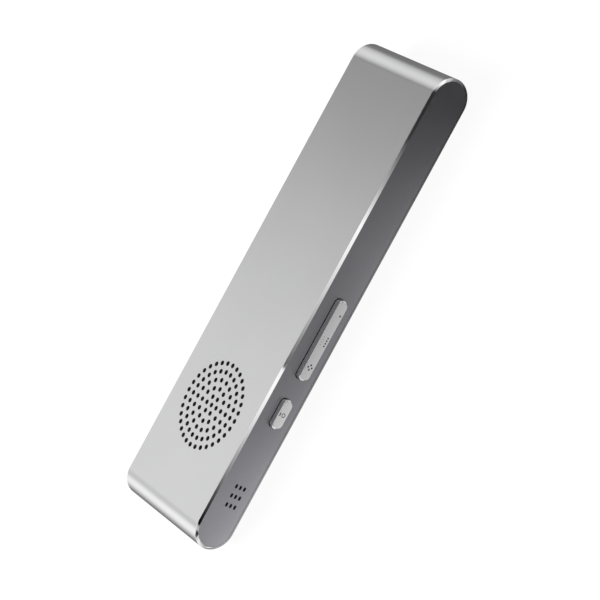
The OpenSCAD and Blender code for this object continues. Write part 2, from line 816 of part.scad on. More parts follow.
// Moving cone: surround, cone and dust cap in one thin skin
module speaker_cone() {
    skin = 0.2;
    cap_r = coil_r * 0.7;
    fold_r = cone_r * 0.9;
    color([0.1, 0.1, 0.11]) translate([0, speaker_y, 0]) rotate_extrude() polygon([
        [0, cone_z + 0.7], [cap_r, cone_z + 0.5], [coil_r + coil_half, cone_z],
        [fold_r - 0.9, ring_z - 0.5], [fold_r, ring_z - 0.05 - skin], [cone_r, ring_z - 0.5],
        [cone_r, ring_z - 0.5 + skin], [fold_r, ring_z - 0.05], [fold_r - 1, ring_z - 0.5 + skin],
        [coil_r + coil_half, cone_z + skin], [cap_r, cone_z + 0.5 + skin], [0, cone_z + 0.7 + skin]]);
}

// Rear chamber of the loudspeaker, standing on the board
module speaker_box() {
    seat = ring_z - ring_t;
    color(black_plastic) difference() {
        translate([0, speaker_y, 0]) rotate_extrude() polygon([
            [0, board_top], [box_r, board_top], [box_r, ring_z], [box_r - box_wall, ring_z],
            [box_r - box_wall, seat], [speaker_r - 1.2, seat], [speaker_r - 1.2, board_top + 0.8],
            [0, board_top + 0.8]]);
        for (side = [-1, 1])
            rod_y(speaker_y + speaker_r - 2.5, speaker_y + box_r + over, side * 1.5, seat - 0.6,
                lead_d + 2 * fit_gap);
    }
}

module speaker_gasket() {
    color(foam_black) translate([0, speaker_y, ring_z]) difference() {
        cylinder(r = speaker_r, h = gasket_t);
        translate([0, 0, -over]) cylinder(r = cone_r, h = gasket_t + 2 * over);
    }
}

module speaker_mesh() {
    color(foam_black) translate([0, speaker_y, mesh_z]) cylinder(r = speaker_r, h = mesh_t);
}

// Two leads: out through the box wall, then down to the board
module speaker_leads() {
    out_y = speaker_y + box_r + lead_drop;
    lead_z = ring_z - ring_t - 0.6;
    color([0.1, 0.1, 0.6]) for (side = [-1, 1]) {
        x = side * 1.5;
        rod_y(speaker_y + speaker_r - 1.4, out_y, x, lead_z, lead_d);
        translate([x, out_y, lead_z]) sphere(d = lead_d);
        translate([x, out_y, board_top]) cylinder(d = lead_d, h = lead_z - board_top);
    }
}

// ---- Microphone ----

mic_can_d = 3.2;
mic_can_t = 1.2;
boot_l = slot_pitch_l * (mic_rows - 1) + slot_l + 1.6;
boot_h = slot_pitch_t * (mic_rows - 1) + slot_w + 1.4;
mic_board_t = 0.8;
mic_x = board_right - 0.6;             // outer face of the upright board

module mic_board() {
    color(board_green) block([mic_x - mic_board_t, mic_y - boot_l / 2, board_top],
        [mic_x, mic_y + boot_l / 2, mic_z + boot_h / 2]);
}

module microphone() {
    color(steel) difference() {
        rod_x(mic_x, mic_x + mic_can_t, mic_y, mic_z, mic_can_d);
        rod_x(mic_x + mic_can_t - 0.2, mic_x + mic_can_t + over, mic_y, mic_z, 1);
    }
}

// Rubber duct from the slots to the microphone
module mic_boot() {
    mouth = mic_x + mic_can_t + 0.6;
    low = max(mic_z - boot_h / 2, board_top);
    color(foam_black) difference() {
        block([mic_x, mic_y - boot_l / 2, low],
            [cover_in_x - mesh_t, mic_y + boot_l / 2, mic_z + boot_h / 2]);
        rod_x(mic_x - over, mouth, mic_y, mic_z, mic_can_d + 2 * fit_gap);
        block([mouth - 0.1, mic_y - boot_l / 2 + 0.6, low + 0.5],
            [cover_in_x + over, mic_y + boot_l / 2 - 0.6, mic_z + boot_h / 2 - 0.5]);
    }
}

module mic_mesh() {
    color(foam_black) block([cover_in_x - mesh_t, mic_y - boot_l / 2, mic_z - boot_h / 2],
        [cover_in_x, mic_y + boot_l / 2, mic_z + boot_h / 2]);
}

// ---- Status light and antenna ----

module status_led() {
    color([0.9, 0.95, 0.9]) block([board_left, led_y - led_l / 2, board_top],
        [board_left + led_t, led_y + led_l / 2, board_top + 2 * led_h]);
}

module light_pipe() {
    color([0.85, 0.9, 0.95]) rod_x(-cover_out_x, board_left - 0.05, led_y, led_mid_z, pipe_d);
}

patch_l = cell_l / 2;
patch_w = cell_t * 0.66;
patch_t = 0.2;
patch_y = cell_y + pad_l;

module antenna() {
    color(gold) block([-cover_in_x, patch_y, mid_z - patch_w / 2],
        [patch_t - cover_in_x, patch_y + patch_l, mid_z + patch_w / 2]);
}

// Thin coaxial lead from the antenna to its socket
module antenna_lead() {
    x = patch_t - cover_in_x + lead_d / 2;
    color(black_plastic) {
        rod_y(aerial_y, patch_y + patch_l / 11, x, mid_z, lead_d);
        translate([x, aerial_y, mid_z]) sphere(d = lead_d);
        rod_x(x, aerial_x, aerial_y, mid_z, lead_d);
        translate([aerial_x, aerial_y, mid_z]) sphere(d = lead_d);
        translate([aerial_x, aerial_y, board_top + 0.3])
            cylinder(d = lead_d, h = mid_z - board_top - 0.3);
    }
}

shell();
right_cover();
left_cover();
cover_tapes();
long_key();
key_pin();
power_key();
key_bracket();
bracket_screws();
key_stiffener();
key_flex();
end_domes();
middle_dome();
power_dome();
chassis();
main_board();
board_screws();
usb_socket();
flex_connector();
battery_connector();
antenna_socket();
processor();
memory_chip();
shield_can();
power_inductor();
board_parts();
battery_cell();
protection_board();
battery_tape();
battery_pad();
battery_leads();
speaker_frame();
speaker_magnet();
speaker_coil();
speaker_cone();
speaker_box();
speaker_gasket();
speaker_mesh();
speaker_leads();
microphone();
mic_board();
mic_boot();
mic_mesh();
status_led();
light_pipe();
antenna();
antenna_lead();
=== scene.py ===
"""Handheld translator: smooth shell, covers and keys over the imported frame, and every finish.

The body lies on its back: X runs across it, Y along it, Z from the back to the front.
"""

from math import cos, pi, radians, sin

import bmesh
import bpy
from mathutils import Matrix, Vector


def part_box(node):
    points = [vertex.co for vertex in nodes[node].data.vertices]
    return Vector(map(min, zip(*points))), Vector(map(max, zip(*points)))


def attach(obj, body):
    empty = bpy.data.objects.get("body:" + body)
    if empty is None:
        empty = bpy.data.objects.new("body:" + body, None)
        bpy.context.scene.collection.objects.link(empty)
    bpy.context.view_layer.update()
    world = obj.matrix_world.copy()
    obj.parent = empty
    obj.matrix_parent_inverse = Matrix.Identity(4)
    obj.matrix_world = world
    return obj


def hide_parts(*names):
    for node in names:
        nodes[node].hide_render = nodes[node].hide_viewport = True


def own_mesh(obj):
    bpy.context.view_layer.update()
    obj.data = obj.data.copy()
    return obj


MM = 0.001
NEAR = 0.002 * MM  # places closer than this are one place

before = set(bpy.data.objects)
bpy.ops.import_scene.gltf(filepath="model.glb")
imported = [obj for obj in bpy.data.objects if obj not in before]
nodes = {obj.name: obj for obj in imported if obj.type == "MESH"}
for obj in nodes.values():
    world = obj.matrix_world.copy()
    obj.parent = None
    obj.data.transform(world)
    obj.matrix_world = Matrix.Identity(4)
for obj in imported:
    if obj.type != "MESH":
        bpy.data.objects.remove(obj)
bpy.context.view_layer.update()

# ---- Sizes: the frame gives the places, these give the edges ----

WALL = 1.3 * MM  # of the extruded shell
RIM_CHAMFER = 0.4 * MM  # on the outer face
RIM_DROP = 0.8 * MM  # over the end of the tube
RIM_LAND = 0.05 * MM
EDGE_BREAK = 0.05 * MM  # tiny rounding of every machined edge
FIT_GAP = 0.025 * MM
TAPE_T = 0.15 * MM
COVER_T = 1.2 * MM
POST_D = 1.8 * MM
POST_ROOM = 0.05 * MM  # round a post in the chassis
POST_WALL = 0.45 * MM  # of the chassis, outside a post
POST_ANGLE = radians(43)
END_STEPS = 96  # faces round each half-round end
SMOOTH_ANGLE = radians(24)  # edges sharper than this stay sharp

GRILLE_RINGS = 5
GRILLE_PITCH = 2.391 * MM
GRILLE_HOLE_D = 1.35 * MM
SLOT_L = 1.2 * MM
SLOT_W = 0.75 * MM
SLOT_PITCH_L = 2.72 * MM
SLOT_PITCH_T = 1.46 * MM
SLOT_CORNER = SLOT_W / 2 - 0.001 * MM  # a hair less than half round, as the bevel needs
MIC_DROP = 0.7 * MM  # slots below the middle of the thickness

KEY_CORNER = 1.5 * MM
KEY_ROUND = 0.18 * MM  # of a cap's upper edge
KEY_RAMP = 0.38 * MM  # the ends of a cap slope in by this much
KEY_RAMP_T = 0.52 * MM  # over this depth below its top
KEY_GAP = 0.15 * MM
KEY_LIP = 0.5 * MM
KEY_FRONT = 0.25 * MM  # more of the lip shows in the gap towards the front
LIP_T = 0.6 * MM
LONG_TILT = radians(1.2)
LONG_LIP_ROOM = 0.15 * MM  # behind the cover, besides what the tilt takes
POWER_LIP_ROOM = 0.05 * MM
MARK_SHARE = 0.328  # of the long key's length, from its middle to the end marks
FOOT_D = 1.6 * MM
HUB_WALL = 0.25 * MM
HUB_CORNER = 0.1 * MM
PIN_GAP = 0.03 * MM
USB_W = 7.5 * MM
USB_H = 2.6 * MM
USB_ROOM = 0.15 * MM
USB_CORNER = 0.6 * MM
OVER = 1 * MM  # how far a cutter runs past the face that it opens


def mid_y(node):
    """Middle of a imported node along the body"""
    low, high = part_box(node)
    return (low.y + high.y) / 2


shell_low, shell_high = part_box("shell")
MID_Z = shell_high.z / 2
HALF_W = shell_high.x
ARC_Y = shell_high.y - MID_Z  # centres of the round ends
INNER_R = MID_Z - WALL
SEAT_R = MID_Z - RIM_DROP - RIM_LAND
cover_low, cover_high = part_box("right_cover")
COVER_OUT = cover_high.x
COVER_IN = COVER_OUT - COVER_T
LEDGE_X = COVER_IN - TAPE_T
SPEAKER_Y = mid_y("speaker_mesh")
MIC_Y = mid_y("mic_mesh")
MIC_Z = MID_Z - MIC_DROP
long_low, long_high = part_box("long_key")
LONG_Y = mid_y("long_key")
POWER_Y = mid_y("power_key")
MARK_PITCH = (long_high.y - long_low.y - 2 * KEY_LIP) * MARK_SHARE


# ---- Camera ----

CAMERA_PLACE = Vector((0.49128, 0.02347, 0.39881))
CAMERA_AIM = Vector((0.00396, -0.00081, 0.0063))
CAMERA_ROLL = radians(-63.214)
LENS = 140.58  # mm, as Blender takes it
SENSOR = 36


def add_camera():
    """Long lens at the front right, turned so that the body stands across the view"""
    bpy.ops.object.camera_add(location=CAMERA_PLACE)
    camera = bpy.context.object
    look = (CAMERA_AIM - CAMERA_PLACE).to_track_quat("-Z", "Y").to_matrix()
    camera.rotation_euler = (look @ Matrix.Rotation(CAMERA_ROLL, 3, "Z")).to_euler()
    camera.data.lens = LENS
    camera.data.sensor_width = SENSOR
    camera.data.clip_start = 0.01
    bpy.context.scene.camera = camera


add_camera()


# ---- Working by hand: selection, edit mode and modifiers ----

def only(obj):
    """Leaves this object as the one that is selected and active"""
    bpy.ops.object.select_all(action="DESELECT")
    obj.select_set(True)
    bpy.context.view_layer.objects.active = obj


def new_piece(name):
    """Names what a primitive has just added, and puts its place into its mesh"""
    obj = bpy.context.object
    obj.name = obj.data.name = name
    bpy.ops.object.transform_apply(location=True, rotation=True, scale=True)
    return obj


def middle(item):
    """Middle of an edge or a face"""
    return sum((v.co for v in item.verts), Vector()) / len(item.verts)


def pick(obj, kind, test):
    """Selects the vertices, edges or faces of the edited mesh that pass a test"""
    bpy.ops.mesh.select_mode(type=kind)
    bpy.ops.mesh.select_all(action="DESELECT")
    mesh = bmesh.from_edit_mesh(obj.data)
    for item in {"VERT": mesh.verts, "EDGE": mesh.edges, "FACE": mesh.faces}[kind]:
        if test(item):
            item.select_set(True)
    mesh.select_flush_mode()
    bmesh.update_edit_mesh(obj.data)


def pick_all():
    bpy.ops.mesh.select_all(action="SELECT")


def edit(obj):
    only(obj)
    bpy.ops.object.mode_set(mode="EDIT")
    pick_all()


def leave():
    bpy.ops.object.mode_set(mode="OBJECT")


def near(a, b):
    return abs(a - b) < NEAR


def slice_at(place, direction):
    """Cuts the whole edited mesh at a plane, and keeps both sides"""
    pick_all()
    bpy.ops.mesh.bisect(plane_co=place, plane_no=direction)


def cut(obj, tool, operation="DIFFERENCE"):
    """Cuts a tool out of a piece, or joins it on, and removes the tool"""
    only(obj)
    change = obj.modifiers.new(operation, "BOOLEAN")
    change.operation = operation
    change.solver = "EXACT"
    change.object = tool
    bpy.ops.object.modifier_apply(modifier=change.name)
    bpy.data.objects.remove(tool)


def joined(pieces, name):
    """Joins pieces into the first one"""
    bpy.ops.object.select_all(action="DESELECT")
    for piece in pieces:
        piece.select_set(True)
    bpy.context.view_layer.objects.active = pieces[0]
    bpy.ops.object.join()
    pieces[0].name = name
    return pieces[0]


def copy_at(piece, shift):
    """A copy of a piece with its own mesh, moved by a vector"""
    twin = piece.copy()
    twin.data = piece.data.copy()
    twin.data.transform(Matrix.Translation(shift))
    bpy.context.scene.collection.objects.link(twin)
    return twin


def finish_edges(obj):
    """Smooth shading over the rolled edges, with the large faces kept flat"""
    only(obj)
    bpy.ops.object.shade_smooth_by_angle(angle=SMOOTH_ANGLE)
    flat = obj.modifiers.new("flat faces", "WEIGHTED_NORMAL")
    flat.keep_sharp = True
    bpy.ops.object.modifier_apply(modifier=flat.name)
    return obj


# ---- Shapes that several pieces start from ----

def section(name, x, z, width, height):
    """Upright rectangle at Y = 0, open for editing, that a section is made from"""
    bpy.ops.mesh.primitive_plane_add(size=1, location=(x, 0, z), rotation=(pi / 2, 0, 0))
    bpy.context.object.scale = (width, height, 1)
    obj = new_piece(name)
    edit(obj)
    return obj


def outline_only():
    """Takes the faces away and leaves their edges"""
    pick_all()
    bpy.ops.mesh.delete(type="ONLY_FACE")


def sweep_round_body(obj):
    """Carries a section out to +Y, round the end and back, then mirrors it"""
    pick_all()
    bpy.ops.mesh.extrude_region_move(TRANSFORM_OT_translate={"value": (0, ARC_Y, 0)})
    bpy.ops.mesh.spin(steps=END_STEPS, dupli=False, angle=pi, center=(0, ARC_Y, MID_Z),
                      axis=(1, 0, 0))
    bpy.ops.mesh.extrude_region_move(TRANSFORM_OT_translate={"value": (0, -ARC_Y, 0)})
    leave()
    mirror = obj.modifiers.new("other end", "MIRROR")
    mirror.use_axis = (False, True, False)
    mirror.merge_threshold = NEAR
    bpy.ops.object.modifier_apply(modifier=mirror.name)
    edit(obj)
    bpy.ops.mesh.remove_doubles(threshold=NEAR)
    bpy.ops.mesh.normals_make_consistent(inside=False)
    leave()


def rounded_block(name, low, high, corner, steps=12):
    """Block whose four edges along X are rounded"""
    low, high = Vector(low), Vector(high)
    bpy.ops.mesh.primitive_cube_add(size=1, location=(low + high) / 2, scale=high - low)
    obj = new_piece(name)
    edit(obj)
    pick(obj, "EDGE", lambda e: near(e.verts[0].co.y, e.verts[1].co.y)
         and near(e.verts[0].co.z, e.verts[1].co.z))
    bpy.ops.mesh.bevel(offset=corner, segments=steps, affect="EDGES")
    leave()
    return obj


def flare_end(obj, y, z, size_y, size_z):
    """Opens a cover cutter's outer end, so that the edge it leaves is broken all round"""
    end_x = max(v.co.x for v in obj.data.vertices)
    edit(obj)
    pick(obj, "FACE", lambda f: near(middle(f).x, end_x) and abs(f.normal.x) > 0.9)
    bpy.ops.mesh.extrude_region_move(TRANSFORM_OT_translate={"value": (EDGE_BREAK, 0, 0)})
    bpy.ops.transform.resize(value=(1, 1 + 2 * EDGE_BREAK / size_y, 1 + 2 * EDGE_BREAK / size_z),
                             center_override=(COVER_OUT, y, z))
    bpy.ops.mesh.extrude_region_move(TRANSFORM_OT_translate={"value": (OVER, 0, 0)})
    leave()


def opening(name, y, z, length, width, corner, steps=12):
    """Cutter for a rounded opening in a side cover, on the +X side"""
    tool = rounded_block(name, (COVER_IN - OVER, y - length / 2, z - width / 2),
                         (COVER_OUT - EDGE_BREAK, y + length / 2, z + width / 2), corner, steps)
    flare_end(tool, y, z, length, width)
    return tool


def rod(name, start, end, diameter, steps=32):
    """Cylinder along X or Z between two points"""
    start, end = Vector(start), Vector(end)
    along = end - start
    turn = (0, pi / 2, 0) if abs(along.x) > abs(along.z) else (0, 0, 0)
    bpy.ops.mesh.primitive_cylinder_add(vertices=steps, radius=diameter / 2, depth=along.length,
                                        location=(start + end) / 2, rotation=turn)
    return new_piece(name)


# ---- Shell ----

def make_shell():
    """Extruded tube with chamfered mouths, a seat for each cover and the grille's holes"""
    shell = section("shell_tube", 0, MID_Z + (MID_Z + INNER_R) / 2, 2 * HALF_W, WALL)
    for x in (-LEDGE_X, LEDGE_X):
        slice_at((x, 0, 0), (1, 0, 0))
    slice_at((0, 0, MID_Z + SEAT_R), (0, 0, 1))
    pick(shell, "FACE", lambda f: abs(middle(f).x) > LEDGE_X and middle(f).z < MID_Z + SEAT_R)
    bpy.ops.mesh.delete(type="FACE")
    pick_all()
    bpy.ops.mesh.dissolve_faces()
    bpy.ops.mesh.dissolve_limited(angle_limit=radians(1))
    pick(shell, "VERT", lambda v: near(v.co.z, 2 * MID_Z))
    bpy.ops.mesh.bevel(offset=RIM_CHAMFER, segments=1, affect="VERTICES")
    pick(shell, "VERT", lambda v: near(v.co.z, 2 * MID_Z - RIM_CHAMFER))
    bpy.ops.transform.translate(value=(0, 0, RIM_CHAMFER - RIM_DROP))
    pick(shell, "VERT", lambda v: abs(v.co.x) > LEDGE_X + EDGE_BREAK
         and v.co.z > MID_Z + SEAT_R + EDGE_BREAK)
    bpy.ops.mesh.bevel(offset=EDGE_BREAK, segments=2, affect="VERTICES")
    outline_only()
    sweep_round_body(shell)
    cut(shell, grille_cutter())
    return finish_edges(shell)


def grille_cutter():
    """One flared pin for each hole of the grille"""
    top = 2 * MID_Z
    pin = rod("grille_cutter", (0, SPEAKER_Y, top - WALL - OVER),
              (0, SPEAKER_Y, top - EDGE_BREAK), GRILLE_HOLE_D, 24)
    edit(pin)
    pick(pin, "FACE", lambda f: f.normal.z > 0.9)
    bpy.ops.mesh.extrude_region_move(TRANSFORM_OT_translate={"value": (0, 0, EDGE_BREAK)})
    flare = 1 + EDGE_BREAK / (GRILLE_HOLE_D / 2)
    bpy.ops.transform.resize(value=(flare, flare, 1), center_override=(0, SPEAKER_Y, top))
    bpy.ops.mesh.extrude_region_move(TRANSFORM_OT_translate={"value": (0, 0, OVER)})
    leave()
    pins = [pin]
    for ring in range(1, GRILLE_RINGS + 1):
        count = 2 * round(pi * ring)
        for hole in range(count):
            angle = 2 * pi * hole / count
            reach = ring * GRILLE_PITCH
            pins.append(copy_at(pin, (reach * cos(angle), reach * sin(angle), 0)))
    return joined(pins, "grille_cutter")


# ---- Side covers ----

def make_cover(name, openings):
    """Flat plate in the +X mouth, with its openings"""
    radius = SEAT_R - FIT_GAP
    plate = section(name, (COVER_IN + COVER_OUT) / 2, MID_Z + radius / 2, COVER_T, radius)
    pick(plate, "VERT", lambda v: near(v.co.z, MID_Z + radius) and near(v.co.x, COVER_OUT))
    bpy.ops.mesh.bevel(offset=EDGE_BREAK, segments=2, affect="VERTICES")
    outline_only()
    pick(plate, "EDGE", lambda e: near(middle(e).z, MID_Z))
    bpy.ops.mesh.delete(type="EDGE")
    sweep_round_body(plate)
    edit(plate)
    pick(plate, "FACE", lambda f: abs(f.normal.x) > 0.999)
    bpy.ops.mesh.dissolve_faces()
    leave()
    for tool in openings:
        cut(plate, tool)
    return plate


POST_REACH = INNER_R - FIT_GAP - POST_D / 2 - POST_ROOM - POST_WALL
POST_PLACE = Vector((0, ARC_Y + POST_REACH * cos(POST_ANGLE), POST_REACH * sin(POST_ANGLE)))


def add_posts(plate, tip_x):
    """Four locating posts behind a cover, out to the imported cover's depth"""
    for side_y in (-1, 1):
        for side_z in (-1, 1):
            y, z = side_y * POST_PLACE.y, MID_Z + side_z * POST_PLACE.z
            post = rod("post", (tip_x, y, z), (COVER_IN + COVER_T / 2, y, z), POST_D, 24)
            cut(plate, post, "UNION")


def make_right_cover():
    """Cover with the openings of both keys and the microphone's slots"""
    tools = []
    for node, y in (("power_key", POWER_Y), ("long_key", LONG_Y)):
        low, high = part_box(node)
        length = high.y - low.y - 2 * KEY_LIP + 2 * KEY_GAP
        width = high.z - low.z - 2 * KEY_LIP + 2 * KEY_GAP
        tools.append(opening(node + "_opening", y, MID_Z - KEY_FRONT / 2, length,
                             width - KEY_FRONT, KEY_CORNER - KEY_FRONT / 2 + KEY_GAP))
    slots = []
    for column in (-1, 0, 1):
        for row in (-1, 0, 1):
            slots.append(opening("mic_slot", MIC_Y + column * SLOT_PITCH_L,
                                 MIC_Z + row * SLOT_PITCH_T, SLOT_L, SLOT_W, SLOT_CORNER, 8))
    tools.append(joined(slots, "mic_slots"))
    cover = make_cover("right_cover_plate", tools)
    add_posts(cover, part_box("right_cover")[0].x)
    return finish_edges(cover)


def make_left_cover():
    """Drawn for the +X side as the right one is, then turned over to the -X mouth"""
    port_z = (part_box("main_board")[1].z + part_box("usb_socket")[1].z) / 2
    tools = [opening("port_opening", mid_y("usb_socket"), port_z, USB_W + 2 * USB_ROOM,
                     USB_H + 2 * USB_ROOM, USB_CORNER + USB_ROOM)]
    low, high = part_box("light_pipe")
    pipe_y, pipe_z = mid_y("light_pipe"), (low.z + high.z) / 2
    tools.append(rod("pipe_hole", (COVER_IN - OVER, pipe_y, pipe_z),
                     (COVER_OUT + OVER, pipe_y, pipe_z), high.z - low.z + 2 * FIT_GAP))
    cover = make_cover("left_cover_plate", tools)
    add_posts(cover, -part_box("left_cover")[1].x)
    cover.data.transform(Matrix.Scale(-1, 4, (1, 0, 0)))
    edit(cover)
    bpy.ops.mesh.normals_make_consistent(inside=False)
    leave()
    return finish_edges(cover)


# ---- Keys ----

def slope_ends(cap, low, high):
    """Lets the two ends of a cap lean in towards its top"""
    slice_at((high.x - KEY_RAMP_T, 0, 0), (1, 0, 0))
    pick(cap, "VERT", lambda v: v.co.x > high.x - KEY_RAMP_T + NEAR)
    share = 1 - 2 * KEY_RAMP / (high.y - low.y - 2 * KEY_LIP)
    bpy.ops.transform.resize(value=(1, share, 1),
                             center_override=(high.x, (low.y + high.y) / 2, MID_Z))


def make_key(name, node, lip_top, feet, pin=None):
    """Cap with a rolled edge, the lip that keeps it in the cover, and its feet"""
    low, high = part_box(node)
    cap = rounded_block(name, (lip_top - LIP_T / 2, low.y + KEY_LIP, low.z + KEY_LIP),
                        (high.x, high.y - KEY_LIP, high.z - KEY_LIP - KEY_FRONT),
                        KEY_CORNER - KEY_FRONT / 2)
    edit(cap)
    pick(cap, "EDGE", lambda e: all(near(v.co.x, high.x) for v in e.verts))
    bpy.ops.mesh.bevel(offset=KEY_ROUND, segments=4, affect="EDGES")
    slope_ends(cap, low, high)
    leave()
    lip = rounded_block("lip", (lip_top - LIP_T, low.y, low.z), (lip_top, high.y, high.z),
                        KEY_CORNER)
    cut(cap, lip, "UNION")
    for y, room in feet:
        cut(cap, rod("foot", (low.x + room, y, MID_Z), (lip_top - LIP_T / 2, y, MID_Z), FOOT_D,
                     24), "UNION")
    if pin:
        pin_low, pin_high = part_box(pin)
        pin_d = pin_high.y - pin_low.y
        pin_x, pin_y = (pin_low.x + pin_high.x) / 2, mid_y(pin)
        reach = pin_d / 2 + HUB_WALL
        hub = rounded_block("hub", (pin_x - reach, pin_y - reach, low.z),
                            (lip_top - LIP_T / 2, pin_y + reach, high.z), HUB_CORNER, 2)
        cut(cap, hub, "UNION")
        bore = rod("bore", (pin_x, pin_y, pin_low.z), (pin_x, pin_y, pin_high.z),
                   pin_d + 2 * PIN_GAP, 24)
        cut(cap, bore)
    return finish_edges(cap)


# ---- Snap domes under the keys' feet ----

DOME_SKIN = 0.06 * MM
# From the rim to the crown: each step inwards as a share of the radius, upwards of the rise
DOME_STEPS = [(0.1, 0.0), (0.15, 0.5), (0.15, 0.3), (0.15, 0.2)]
TILT_ROOM = 0.15 * MM  # the end feet are this much shorter, for the long key's tilt


def make_dome(name, y):
    """Thin pressed cap: a flat rim, a wall that rises more and more gently, and a flat crown"""
    low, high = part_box("middle_dome")
    radius, rise = (high.y - low.y) / 2, high.x - low.x - DOME_SKIN
    bpy.ops.mesh.primitive_circle_add(vertices=48, radius=radius, fill_type="NGON",
                                      location=(low.x, y, MID_Z), rotation=(0, pi / 2, 0))
    dome = new_piece(name)
    edit(dome)
    for inward, upward in DOME_STEPS:
        bpy.ops.mesh.inset(thickness=inward * radius)
        bpy.ops.transform.translate(value=(upward * rise, 0, 0))
    leave()
    skin = dome.modifiers.new("skin", "SOLIDIFY")
    skin.thickness = DOME_SKIN
    skin.offset = 1
    bpy.ops.object.modifier_apply(modifier=skin.name)
    return finish_edges(dome)


def add_dome(dome, node):
    """Puts a dome in its node's place, fixed in the case"""
    dress(dome, "case", "spring_steel", node)
    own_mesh(dome)


# ---- Marks on the keys ----

MARK_T = 0.02 * MM
DOT_D = 0.5 * MM
SMALL_DOT_D = 0.2 * MM
STROKE = 0.22 * MM
STROKE_CORNER = 0.09 * MM
DIAMOND_R = 0.66 * MM  # from its middle to each of its four dots
DIAMOND_DOT_D = 0.55 * MM
DIAMOND_DROP = 0.1 * MM  # drops and rises count from the middle of the thickness
ROW_PITCH = 0.77 * MM
ROW_DROP = 0.8 * MM
SMALL_ROW_RISE = 0.6 * MM
CROSS_L = 0.7 * MM
RING_R = 0.52 * MM
RING_DROP = 0.3 * MM
BAR_L = 0.95 * MM
BAR_W = 0.36 * MM
BAR_RISE = 1.2 * MM  # above the ring's middle


def dot(x, y, z, diameter=DOT_D):
    """Thin printed dot on a key's face"""
    return rod("dot", (x - MARK_T, y, z), (x + MARK_T / 2, y, z), diameter, 16)


def stroke(x, y, z, length, width):
    """Thin printed line, length along the body and width across the key"""
    return rounded_block("stroke", (x - MARK_T, y - length / 2, z - width / 2),
                         (x + MARK_T / 2, y + length / 2, z + width / 2), STROKE_CORNER, 3)


def make_long_marks():
    """Four dots in a diamond at one end, a row in the middle, a small cross at the other end"""
    x = long_high.x
    marks = []
    for step in range(4):
        angle = step * pi / 2
        marks.append(dot(x, LONG_Y - MARK_PITCH + DIAMOND_R * cos(angle),
                         MID_Z - DIAMOND_DROP + DIAMOND_R * sin(angle), DIAMOND_DOT_D))
    for step in range(4):
        y = LONG_Y + (step - 1.5) * ROW_PITCH
        marks.append(dot(x, y, MID_Z - ROW_DROP))
        marks.append(dot(x, y, MID_Z + SMALL_ROW_RISE, SMALL_DOT_D))
    y = LONG_Y + MARK_PITCH
    marks.append(stroke(x, y, MID_Z - ROW_DROP, CROSS_L, STROKE))
    marks.append(stroke(x + MARK_T / 4, y, MID_Z - ROW_DROP, STROKE, CROSS_L))
    return joined(marks, "long_key_marks")


def make_power_marks():
    """Line and ring, side by side across the key"""
    x, y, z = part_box("power_key")[1].x, POWER_Y, MID_Z - RING_DROP
    bpy.ops.mesh.primitive_torus_add(location=(x, y, z), rotation=(0, pi / 2, 0),
                                     major_radius=RING_R, minor_radius=STROKE / 2,
                                     major_segments=40, minor_segments=8)
    ring = new_piece("ring")
    edit(ring)
    bpy.ops.transform.resize(value=(MARK_T / STROKE, 1, 1), center_override=(x, y, z))
    leave()
    bar = stroke(x, y, z + BAR_RISE, BAR_L, BAR_W)
    return joined([ring, bar], "power_key_marks")


# ---- Node trees of the materials, the floor and the world ----

class Tree:
    """Short ways to build a node tree"""

    def __init__(self, tree):
        self.tree = tree

    def add(self, kind, **settings):
        node = self.tree.nodes.new(kind)
        for key, value in settings.items():
            setattr(node, key, value)
        return node

    def link(self, source, socket):
        self.tree.links.new(source, socket)

    def feed(self, socket, value):
        """Gives a socket a number, or what another node puts out"""
        if isinstance(value, (int, float)):
            socket.default_value = value
        else:
            self.link(value, socket)

    def math(self, operation, *values):
        node = self.add("ShaderNodeMath", operation=operation)
        for socket, value in zip(node.inputs, values):
            self.feed(socket, value)
        return node.outputs["Value"]

    def blend(self, factor, first, second):
        """Mixes two brightnesses"""
        node = self.add("ShaderNodeMix", data_type="FLOAT")
        for name, value in (("Factor", factor), ("A", first), ("B", second)):
            self.feed(node.inputs[name], value)
        return node.outputs["Result"]

    def ranged(self, value, start, end, low=0.0, high=1.0, **settings):
        """Goes from low to high, and no further, as a value goes from start to end"""
        node = self.add("ShaderNodeMapRange", **settings)
        for name, number in (("From Min", start), ("From Max", end), ("To Min", low),
                             ("To Max", high)):
            node.inputs[name].default_value = number
        self.link(value, node.inputs["Value"])
        return node.outputs["Result"]

    def step(self, value, start, end, low=0.0, high=1.0):
        """The same with a soft start and a soft end"""
        return self.ranged(value, start, end, low, high, interpolation_type="SMOOTHSTEP")

    def profile(self, value, low, high, stops):
        """Brightness along a direction or a length, from a short list of (place, level)"""
        node = self.add("ShaderNodeValToRGB")
        ramp = node.color_ramp
        ramp.interpolation = "LINEAR"
        while len(ramp.elements) < len(stops):
            ramp.elements.new(0.5)
        for element, (place, level) in zip(ramp.elements, stops):
            element.position = (place - low) / (high - low)
            element.color = (level, level, level, 1)
        self.link(self.ranged(value, low, high), node.inputs["Fac"])
        return node.outputs["Color"]

    def mix_shaders(self, factor, first, second, output):
        """Shows the first shader where the factor is 0 and the second where it is 1"""
        mix = self.add("ShaderNodeMixShader")
        for socket, source in zip(mix.inputs, (factor, first, second)):
            self.link(source, socket)
        self.link(mix.outputs["Shader"], self.tree.nodes[output].inputs["Surface"])


NOISE_LOW, NOISE_HIGH = 0.3, 0.7  # noise values seldom lie outside these


